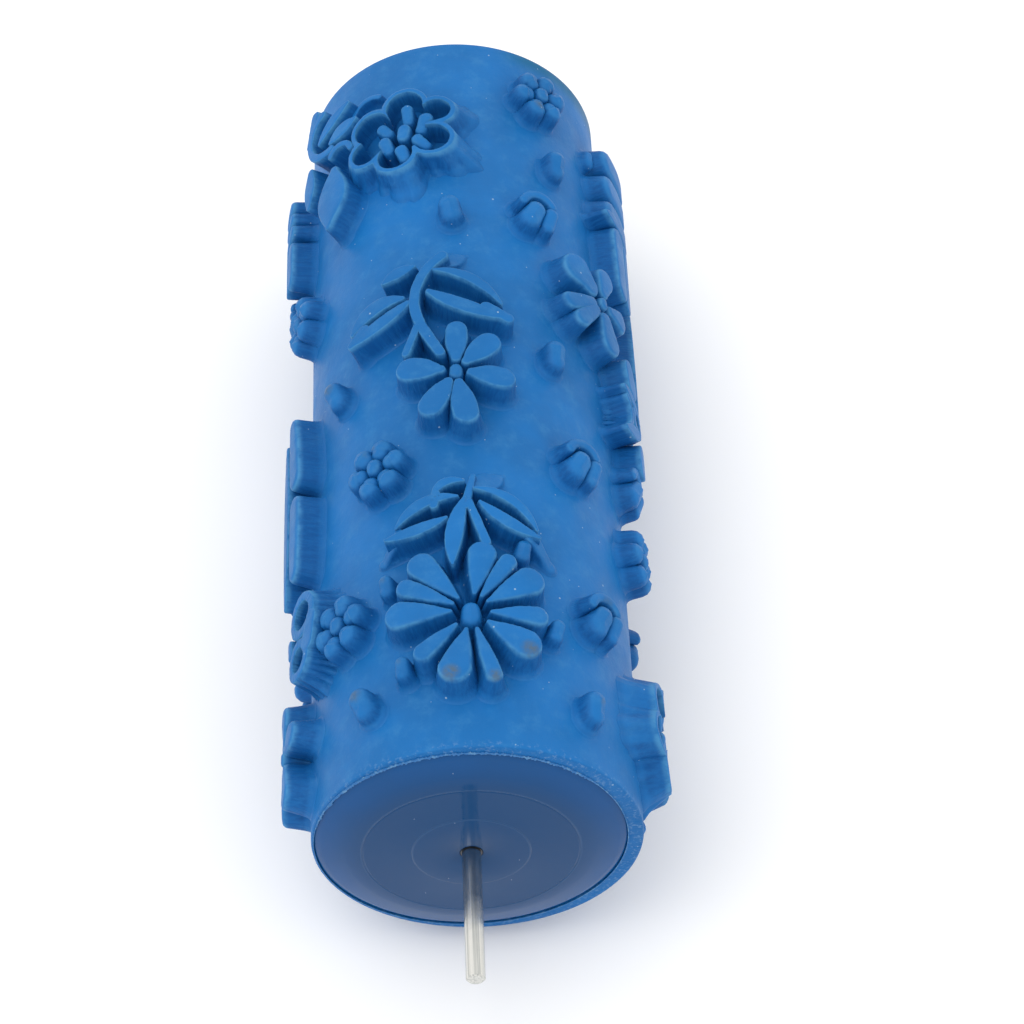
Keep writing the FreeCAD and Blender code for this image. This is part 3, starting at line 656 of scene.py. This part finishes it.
def cap_rib(index):
    """One rib between the hub and the spigot."""
    inner, outer = HUB_RADIUS - RIB_OVERLAP, SPIGOT_BORE + RIB_OVERLAP
    back = HALF_LENGTH - FLANGE_THICKNESS - SPIGOT_LENGTH
    front = min(DISC_FACE - CAP_WALL + RIB_FACE_OVERLAP, HALF_LENGTH - RIB_END_INSET)
    half = RIB_THICKNESS / 2
    corners = np.array([(x, y, z) for y in (back, front) for x, z in
                        ((inner, -half), (outer, -half), (outer, half), (inner, half))])
    turn = Matrix.Rotation(index * FULL_TURN / RIB_COUNT, 3, "Y")
    faces = [(0, 1, 2, 3), (4, 7, 6, 5), (0, 4, 5, 1), (1, 5, 6, 2), (2, 6, 7, 3), (3, 7, 4, 0)]
    return MM * corners @ np.array(turn).T, faces


def end_cap(name, side):
    """The far cap for side 1, and its mirror image for side -1."""
    points, faces = turned_mesh(softened(cap_outline(), SMALL_ROUND))
    mirror = np.array([1, side, 1])
    ribs = [(rib * mirror, sides) for rib, sides in (cap_rib(index) for index in range(RIB_COUNT))]
    return joined(name, new_object("shell", points * mirror, faces), ribs)


# The torn skin of rubber round the near end, where the sleeve was trimmed flush with the cap.
SKIN_COLUMNS = 720
SKIN_THICKNESS = 0.14
SKIN_SPREAD = 0.12
SKIN_OVERLAP = 0.04          # onto the rubber, beyond the gap round the cap
CAP_OVERLAP = 0.02           # onto the cap
INWARD_TEAR = 0.35
TOOTH_LENGTH = 0.35
LIFT = 0.18                  # the most that the torn edge stands further out
SKIN_SINK = 0.05             # it starts this far inside the sleeve's end, and stands its thickness out of it
TORN_FROM, TORN_TO, TORN_FADE = 35.0, 172.0, 12.0            # degrees


def torn_skin():
    """A thin ring, ragged on the torn stretch and smooth elsewhere."""
    angle = np.linspace(0, FULL_TURN, SKIN_COLUMNS, endpoint=False)
    degree = np.degrees(angle)
    torn = np.clip((degree - TORN_FROM) / TORN_FADE, 0, 1) * np.clip((TORN_TO - degree) / TORN_FADE, 0, 1)
    tooth = RANDOM.uniform(0, 1, SKIN_COLUMNS) ** 3 * TOOTH_LENGTH * torn
    inward = RANDOM.uniform(0, 1, SKIN_COLUMNS) ** 2 * INWARD_TEAR * torn
    inner = CORE_RADIUS - CAP_OVERLAP - inward
    spread = SKIN_SPREAD * torn * RANDOM.uniform(0.3, 1, SKIN_COLUMNS)
    outer = CORE_RADIUS + MOUTH_CLEARANCE + SKIN_OVERLAP + spread + tooth
    outer = np.minimum(outer, GROUND_RADIUS - END_ROUND + SLEEVE_OFFSET * np.cos(angle))
    lift = RANDOM.uniform(0, LIFT, SKIN_COLUMNS) * torn
    base = -HALF_LENGTH + SKIN_SINK
    face = base - SKIN_SINK - SKIN_THICKNESS
    rings = [circle(inner, base, angle), circle(outer, base, angle), circle(outer, face - lift * 0.5, angle),
             circle(inner, face - lift, angle)]
    return new_object("torn_rubber_skin", MM * np.concatenate(rings), ring_faces(len(rings), SKIN_COLUMNS))


# Materials
class Shader:
    """A node material under construction. Most methods add nodes and return an output."""

    def __init__(self, name):
        self.material = bpy.data.materials.new(name)
        self.material.use_nodes = True
        self.tree = self.material.node_tree
        self.surface = self.tree.nodes["Principled BSDF"]
        self.coordinates = self.node("ShaderNodeTexCoord").outputs["Object"]

    def node(self, kind, settings=None, inputs=None):
        made = self.tree.nodes.new(kind)
        for key, value in (settings or {}).items():
            setattr(made, key, value)
        for key, value in (inputs or {}).items():
            self.feed(made.inputs[key], value)
        return made

    def feed(self, socket, value):
        if isinstance(value, bpy.types.NodeSocket):
            self.tree.links.new(value, socket)
        else:
            socket.default_value = value

    def math(self, operation, first, second=0.0):
        return self.node("ShaderNodeMath", {"operation": operation}, {0: first, 1: second}).outputs[0]

    def vector(self, operation, first, second=(0.0, 0.0, 0.0)):
        made = self.node("ShaderNodeVectorMath", {"operation": operation}, {0: first, 1: second})
        return made.outputs["Value" if operation in ("LENGTH", "DISTANCE", "DOT_PRODUCT") else "Vector"]

    def step(self, value, low, high, to_low=0.0, to_high=1.0):
        """Smoothly from to_low at low to to_high at high."""
        return self.node("ShaderNodeMapRange", {"interpolation_type": "SMOOTHSTEP"},
                         {"Value": value, "From Min": low, "From Max": high, "To Min": to_low,
                          "To Max": to_high}).outputs["Result"]

    def mix(self, factor, first, second):
        made = self.node("ShaderNodeMix", {"data_type": "RGBA"})
        self.feed(made.inputs[0], factor)
        for socket, colour in ((made.inputs[6], first), (made.inputs[7], second)):
            self.feed(socket, colour if isinstance(colour, bpy.types.NodeSocket) else (*colour, 1.0))
        return made.outputs[2]

    def noise(self, scale, detail=3.0, rough=0.5, place=None):
        return self.node("ShaderNodeTexNoise", None,
                         {"Vector": place or self.coordinates, "Scale": scale, "Detail": detail,
                          "Roughness": rough}).outputs[0]

    def specks(self, scale, size, share, place=None):
        """Scattered dots: scale is cells per metre, size a dot's in cells, share how many cells have one."""
        cell = self.node("ShaderNodeTexVoronoi", None, {"Vector": place or self.coordinates, "Scale": scale})
        chosen = self.node("ShaderNodeSeparateColor", None, {0: cell.outputs["Color"]}).outputs[0]
        dot = self.step(cell.outputs["Distance"], size * 0.6, size, 1.0, 0.0)
        return self.math("MULTIPLY", dot, self.math("LESS_THAN", chosen, share))

    def bump(self, height, distance, strength=1.0, below=None):
        inputs = {"Height": height, "Distance": distance, "Strength": strength}
        if below is not None:
            inputs["Normal"] = below
        return self.node("ShaderNodeBump", None, inputs).outputs[0]

    def finish(self, colour, rough, normal=None, metallic=0.0, specular=0.5):
        self.feed(self.surface.inputs["Base Color"], colour)
        self.feed(self.surface.inputs["Roughness"], rough)
        self.surface.inputs["Metallic"].default_value = metallic
        self.surface.inputs["Specular IOR Level"].default_value = specular
        if normal is not None:
            self.feed(self.surface.inputs["Normal"], normal)
        return self.material


def on_sleeve(u, v, angle, axial, height):
    """A point of the pattern in metres."""
    return tuple(float(c) for c in wrapped(np.array([[u, v, height], [u, v, height]]), angle, axial)[0])


def away_from_axis(shader, offset):
    """The radius about a line along Y at x = offset, and the direction out from it."""
    moved = shader.vector("SUBTRACT", shader.coordinates, (offset, 0, 0))
    flat = shader.vector("MULTIPLY", moved, (1, 0, 1))
    return shader.vector("LENGTH", flat), shader.vector("NORMALIZE", flat)


def at_height(height):
    """The radius in metres at a height above the ground."""
    return (GROUND_RADIUS + height) * MM


RUBBER = (0.0065, 0.120, 0.352)
# Painted shade on the raised walls, streaked by the casting marks, and in the creases at their feet
RUBBER_SHADE_AND_STREAKS = (0.003, 0.082, 0.275)
RUBBER_EDGE = (0.05, 0.225, 0.46)
RUBBER_DUST = (0.30, 0.44, 0.58)
RUBBER_PIT = (0.002, 0.014, 0.04)
RUBBER_TORN = (0.08, 0.23, 0.43)
CLOUD_LIFT = 1.22            # how much lighter the cloudy patches are
OLIVE_PAINT = (0.075, 0.115, 0.15)
TEAL_PAINT = (0.0, 0.105, 0.22)
# Dried paint: the motif's place, then the smudge's u, v and radius in the motif
SMUDGES = [(90.0, 26.0, 10.4, -8.2, 1.9), (90.0, 26.0, 3.9, -14.4, 1.4), (90.0, 26.0, -3.9, -13.6, 1.8),
           (90.0, 26.0, 16.0, 15.6, 1.8), (138.0, 88.0, 0.0, 0.6, 1.9), (120.0, 63.5, -0.6, 3.8, 1.5),
           (126.5, 12.5, -0.8, 0.8, 2.0), (49.5, 11.0, 1.4, 0.2, 1.8), (112.0, 16.5, -0.6, 0.4, 1.2),
           (57.0, 163.0, -0.8, -3.4, 1.9), (117.0, 35.5, -0.4, 0.6, 1.1), (44.5, 31.5, 0.4, 3.2, 1.4)]
SMUDGE_LEVEL = RELIEF_HEIGHT - 0.6


def paint_smudges(s, high):
    """How much dried paint lies on each place near full height."""
    smudge = 0.0
    for angle, axial, u, v, size in SMUDGES:
        away = s.vector("DISTANCE", s.coordinates, on_sleeve(u, v, angle, axial, SMUDGE_LEVEL))
        spot = s.step(away, size * MM * 0.35, size * MM * 1.25, 1.0, 0.0)
        smudge = s.math("MAXIMUM", smudge, spot)
    patchy = s.step(s.noise(700, 4, 0.7), 0.3, 0.6, 0.25, 0.85)
    return s.math("MULTIPLY", smudge, s.math("MULTIPLY", high, patchy))


def marked_ends(s, colour, outward, cloud):
    """Teal paint on one side of the far end, and dusty scuffs at the near end."""
    y = s.node("ShaderNodeSeparateXYZ", None, {0: s.coordinates}).outputs["Y"]
    ragged = s.math("ADD", y, s.math("MULTIPLY", cloud, 4.0 * MM))
    far_rim = s.step(ragged, (HALF_LENGTH - 3.5) * MM, (HALF_LENGTH + 1.5) * MM)
    lean = s.node("ShaderNodeSeparateXYZ", None, {0: outward}).outputs["X"]
    stain = s.math("MULTIPLY", far_rim, s.step(lean, 0.28, 0.55))
    colour = s.mix(s.math("MULTIPLY", stain, 0.85), colour, TEAL_PAINT)
    near_rim = s.step(y, (0.1 - HALF_LENGTH) * MM, (2.2 - HALF_LENGTH) * MM, 1.0, 0.0)
    scuff = s.math("MULTIPLY", near_rim, s.step(s.noise(1300, 4, 0.7), 0.52, 0.66))
    return s.mix(s.math("MULTIPLY", scuff, 0.22), colour, RUBBER_DUST)


def rubber_material():
    """Moulded rubber: streaky walls darkened with painted shade, painted shade at the feet of the walls, pale
    edges of part wear and part painted highlight, old paint, dust and pits.
    """
    s = Shader("moulded_rubber")
    radius, outward = away_from_axis(s, SLEEVE_OFFSET * MM)
    normal = s.node("ShaderNodeNewGeometry").outputs["Normal"]
    facing = s.math("ABSOLUTE", s.vector("DOT_PRODUCT", normal, outward))

    # Masks from 0 to 1: steep, out of the ground, near full height, edge of a top, foot of a wall
    wall = s.step(facing, 0.35, 0.8, 1.0, 0.0)
    raised = s.step(radius, at_height(0.5), at_height(1.8))
    high = s.step(radius, at_height(4.0), at_height(5.2))
    edge = s.math("MULTIPLY", high, s.step(facing, 0.55, 0.985, 1.0, 0.0))
    low = s.step(radius, at_height(0.05), at_height(1.2), 1.0, 0.0)
    foot = s.math("MULTIPLY", low, s.step(facing, 0.75, 0.995, 1.0, 0.0))

    # The streaks are looked up at one radius, so that they run straight up the walls
    along_y = s.vector("MULTIPLY", s.coordinates, (0, 1, 0))
    column = s.vector("ADD", s.vector("MULTIPLY", outward, (at_height(3.0),) * 3), along_y)
    cloud = s.noise(38, 4, 0.6)
    grain = s.noise(900, 5, 0.65)
    stria = s.noise(1500, 3, 0.7, column)

    colour = s.mix(s.step(cloud, 0.35, 0.7), RUBBER, tuple(c * CLOUD_LIFT for c in RUBBER))
    colour = s.mix(s.step(s.noise(260, 5, 0.7), 0.45, 0.8, 0.0, 0.35), colour, RUBBER_EDGE)
    streak = s.step(stria, 0.36, 0.64, 0.45, 0.9)
    # Painted shade: the raised walls are darkened towards the dark blue, more along the vertical casting
    # streaks
    colour = s.mix(s.math("MULTIPLY", s.math("MULTIPLY", wall, raised), streak), colour, RUBBER_SHADE_AND_STREAKS)
    # Painted shade in the crease at the foot of each wall
    colour = s.mix(s.math("MULTIPLY", foot, 0.35), colour, RUBBER_SHADE_AND_STREAKS)
    # The pale edges of the tops are partly wear and partly a painted highlight
    wear_and_highlight = s.step(s.noise(420, 3, 0.6), 0.3, 0.6, 0.25, 0.95)
    colour = s.mix(s.math("MULTIPLY", edge, wear_and_highlight), colour, RUBBER_EDGE)
    colour = s.mix(paint_smudges(s, high), colour, OLIVE_PAINT)
    colour = marked_ends(s, colour, outward, cloud)
    dust = s.math("MAXIMUM", s.specks(240, 0.06, 0.30), s.specks(620, 0.1, 0.10))
    colour = s.mix(s.math("MULTIPLY", dust, 0.75), colour, RUBBER_DUST)
    pit = s.specks(150, 0.05, 0.16, s.vector("ADD", s.coordinates, (0.31, 0.17, 0.53)))
    colour = s.mix(s.math("MULTIPLY", pit, 0.85), colour, RUBBER_PIT)

    rough = s.step(s.noise(160, 4, 0.6), 0.3, 0.75, 0.42, 0.56)
    rough = s.math("ADD", rough, s.math("MULTIPLY", wall, 0.08))
    relief = s.bump(s.math("MULTIPLY", stria, wall), 0.3 * MM, 0.8)
    relief = s.bump(s.noise(110, 3, 0.5), 0.8 * MM, 0.2, relief)
    relief = s.bump(grain, 0.1 * MM, 0.7, relief)
    relief = s.bump(s.math("SUBTRACT", dust, pit), 0.1 * MM, 0.5, relief)
    return s.finish(colour, rough, relief, specular=0.16)


def skin_material():
    """The sleeve's rubber, paler where it is torn."""
    s = Shader("torn_rubber")
    pale = s.step(s.noise(900, 4, 0.7), 0.46, 0.66)
    colour = s.mix(pale, RUBBER, RUBBER_TORN)
    return s.finish(colour, 0.6, s.bump(s.noise(2200, 3), 0.1 * MM, 0.5))


CAP_BLUE = (0.001, 0.043, 0.140)
# The rim's stronger blue is painted light: it stands in for the sloping rim reflecting less
CAP_RIM_BLUE = (0.0005, 0.062, 0.215)
CAP_CLOUD = (0.004, 0.050, 0.150)
CAP_LINE = (0.08, 0.15, 0.28)
CAP_DUST = (0.5, 0.6, 0.7)
TURNED_MARKS = 9000.0        # radians of the fine turned rings per metre of radius


def cap_material():
    """Glossy dark plastic, turning a stronger blue towards the rim as painted light, with a pale line along
    each ring, faint turned marks and dust.
    """
    s = Shader("moulded_cap")
    radius = away_from_axis(s, 0.0)[0]
    cloud = s.noise(55, 4, 0.6)
    # Painted reflection difference: the face turns a stronger blue towards the rim, where the sloping face
    # reflects less
    colour = s.mix(s.step(radius, 18.5 * MM, 27.5 * MM), CAP_BLUE, CAP_RIM_BLUE)
    colour = s.mix(s.step(cloud, 0.35, 0.7, 0.0, 0.35), colour, CAP_CLOUD)
    for ring in (BOSS_RADIUS, DISC_RADIUS):
        away = s.math("ABSOLUTE", s.math("SUBTRACT", radius, ring * MM))
        line = s.step(away, 0.08 * MM, 0.32 * MM, 1.0, 0.0)
        colour = s.mix(s.math("MULTIPLY", line, 0.16), colour, CAP_LINE)
    dust = s.math("MAXIMUM", s.specks(230, 0.04, 0.16), s.specks(700, 0.07, 0.03))
    colour = s.mix(s.math("MULTIPLY", dust, 0.7), colour, CAP_DUST)
    streak = s.noise(1.0, 4, 0.6, s.vector("MULTIPLY", s.coordinates, (1500, 60, 90)))
    rough = s.step(s.noise(120, 4, 0.6), 0.3, 0.75, 0.035, 0.075)
    rings = s.math("SINE", s.math("MULTIPLY", radius, TURNED_MARKS))
    relief = s.bump(rings, 0.004 * MM, 0.12)
    relief = s.bump(streak, 0.01 * MM, 0.12, relief)
    relief = s.bump(cloud, 0.6 * MM, 0.05, relief)
    return s.finish(colour, rough, relief, specular=0.2)


# The painted shadow where the steel meets the cap
JUNCTION_SHADOW = (0.02, 0.03, 0.05)


def steel_material(name, bright, dull, streaks, rough_range):
    """Drawn or plated steel: fine marks stretched by streaks, dull patches, painted shadow where it meets the
    cap.
    """
    s = Shader(name)
    drawn = s.noise(1.0, 5, 0.7, s.vector("MULTIPLY", s.coordinates, streaks))
    patch = s.noise(260, 4, 0.65)
    colour = s.mix(s.step(drawn, 0.36, 0.64), dull, bright)
    colour = s.mix(s.step(patch, 0.56, 0.74, 0.0, 0.2), colour, tuple(c * 0.55 for c in dull))
    y = s.math("ABSOLUTE", s.node("ShaderNodeSeparateXYZ", None, {0: s.coordinates}).outputs["Y"])
    # Painted shadow: the steel darkens where it meets the cap
    junction_shadow = s.step(y, (BOSS_FACE + 0.05) * MM, (BOSS_FACE + 0.35) * MM, 1.0, 0.0)
    colour = s.mix(s.math("MULTIPLY", junction_shadow, 0.9), colour, JUNCTION_SHADOW)
    rough = s.step(patch, 0.3, 0.7, *rough_range)
    return s.finish(colour, rough, s.bump(drawn, 0.03 * MM, 0.3), metallic=1.0)


def plastic_material(name, colour, shade, rough):
    """Plain inner plastic with faint clouding and moulding grain."""
    s = Shader(name)
    tone = s.mix(s.step(s.noise(90, 4), 0.35, 0.7), colour, shade)
    gloss = s.step(s.noise(300, 3), 0.3, 0.7, rough - 0.06, rough + 0.06)
    return s.finish(tone, gloss, s.bump(s.noise(1600, 3), 0.04 * MM, 0.4))


def floor_material():
    """Matt, and almost evenly pale."""
    s = Shader("pale_floor")
    tone = s.mix(s.noise(6, 3), (0.93, 0.935, 0.94), (0.96, 0.96, 0.96))
    return s.finish(tone, 0.85, specular=0.1)


def painted(piece, material):
    """The piece with this as its only material."""
    piece.data.materials.clear()
    piece.data.materials.append(material)
    return piece


def smoothed(piece, sharp_angle):
    """Shaded smooth, except across edges sharper than the angle in degrees."""
    piece.data.polygons.foreach_set("use_smooth", np.ones(len(piece.data.polygons), bool))
    piece.data.set_sharp_from_angle(angle=radians(sharp_angle))
    return piece


sleeve = painted(smoothed(pattern_sleeve(), 48), rubber_material())
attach(sleeve, "drum")
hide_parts("pattern_sleeve")

cap_plastic = cap_material()
for end, side in (("near", -1), ("far", 1)):
    cap = painted(smoothed(end_cap(end + "_cap_moulding", side), 42), cap_plastic)
    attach(cap, "drum")
    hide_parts(end + "_end_cap")

skin = painted(smoothed(torn_skin(), 30), skin_material())
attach(skin, "drum")

drawn_steel = steel_material("drawn_steel", (0.72, 0.71, 0.67), (0.44, 0.45, 0.43),
                             streaks=(2200, 18, 2200), rough_range=(0.14, 0.24))
washer_steel = steel_material("plated_steel", (0.52, 0.52, 0.53), (0.36, 0.36, 0.37),
                              streaks=(900, 900, 900), rough_range=(0.3, 0.42))
core_plastic = plastic_material("core_plastic", (0.55, 0.55, 0.53), (0.47, 0.47, 0.45), 0.55)
bush_nylon = plastic_material("bush_nylon", (0.82, 0.80, 0.74), (0.76, 0.73, 0.66), 0.42)
CARRIED = {"axle_rod": drawn_steel, "core_tube": core_plastic}
for end in ("near", "far"):
    CARRIED[end + "_bush"] = bush_nylon
    CARRIED[end + "_thrust_washer"] = washer_steel
    CARRIED[end + "_retaining_clip"] = washer_steel
for node, material in CARRIED.items():
    painted(frame["nodes"][node], material)

# Floor, light and camera
FLOOR_HALF = 3.0
FLOOR_GAP = 0.0002
FLOOR_LEVEL = SLEEVE_LOW.z - FLOOR_GAP
corners = [(x * FLOOR_HALF, y * FLOOR_HALF, FLOOR_LEVEL) for x, y in ((-1, -1), (1, -1), (1, 1), (-1, 1))]
floor = new_object("floor", np.array(corners), [(0, 1, 2, 3)])
painted(floor, floor_material())

WORLD_STRENGTH = 1.15
world = bpy.data.worlds.new("studio")
world.use_nodes = True
background = world.node_tree.nodes["Background"]
background.inputs["Color"].default_value = (1.0, 1.0, 1.0, 1.0)
background.inputs["Strength"].default_value = WORLD_STRENGTH
bpy.context.scene.world = world


def softbox(name, place, size, power):
    """A round area light that shines at the origin."""
    light = bpy.data.lights.new(name, "AREA")
    light.shape = "DISK"
    light.size = size
    light.energy = power
    lamp = bpy.data.objects.new(name, light)
    lamp.location = place
    lamp.rotation_euler = (-Vector(place)).to_track_quat("-Z", "Y").to_euler()
    bpy.context.scene.collection.objects.link(lamp)


softbox("key", place=(-0.45, -0.25, 1.0), size=0.9, power=3.0)

AIM = Vector((10.66, 0.33, -16.89)) * MM
CAMERA_AZIMUTH, CAMERA_ELEVATION, CAMERA_ROLL = radians(-1.94), radians(51.23), radians(-0.26)
CAMERA_DISTANCE = 0.608
LENS, SENSOR_WIDTH = 105.2, 36.0
camera_data = bpy.data.cameras.new("camera")
camera_data.lens = LENS
camera_data.sensor_width = SENSOR_WIDTH
camera = bpy.data.objects.new("camera", camera_data)
back = Vector((sin(CAMERA_AZIMUTH) * cos(CAMERA_ELEVATION), -cos(CAMERA_AZIMUTH) * cos(CAMERA_ELEVATION),
               sin(CAMERA_ELEVATION)))
turn = back.to_track_quat("Z", "Y").to_matrix().to_4x4() @ Matrix.Rotation(CAMERA_ROLL, 4, "Z")
camera.matrix_world = Matrix.Translation(AIM + back * CAMERA_DISTANCE) @ turn
bpy.context.scene.collection.objects.link(camera)
bpy.context.scene.camera = camera
bpy.context.scene.view_settings.view_transform = "Standard"
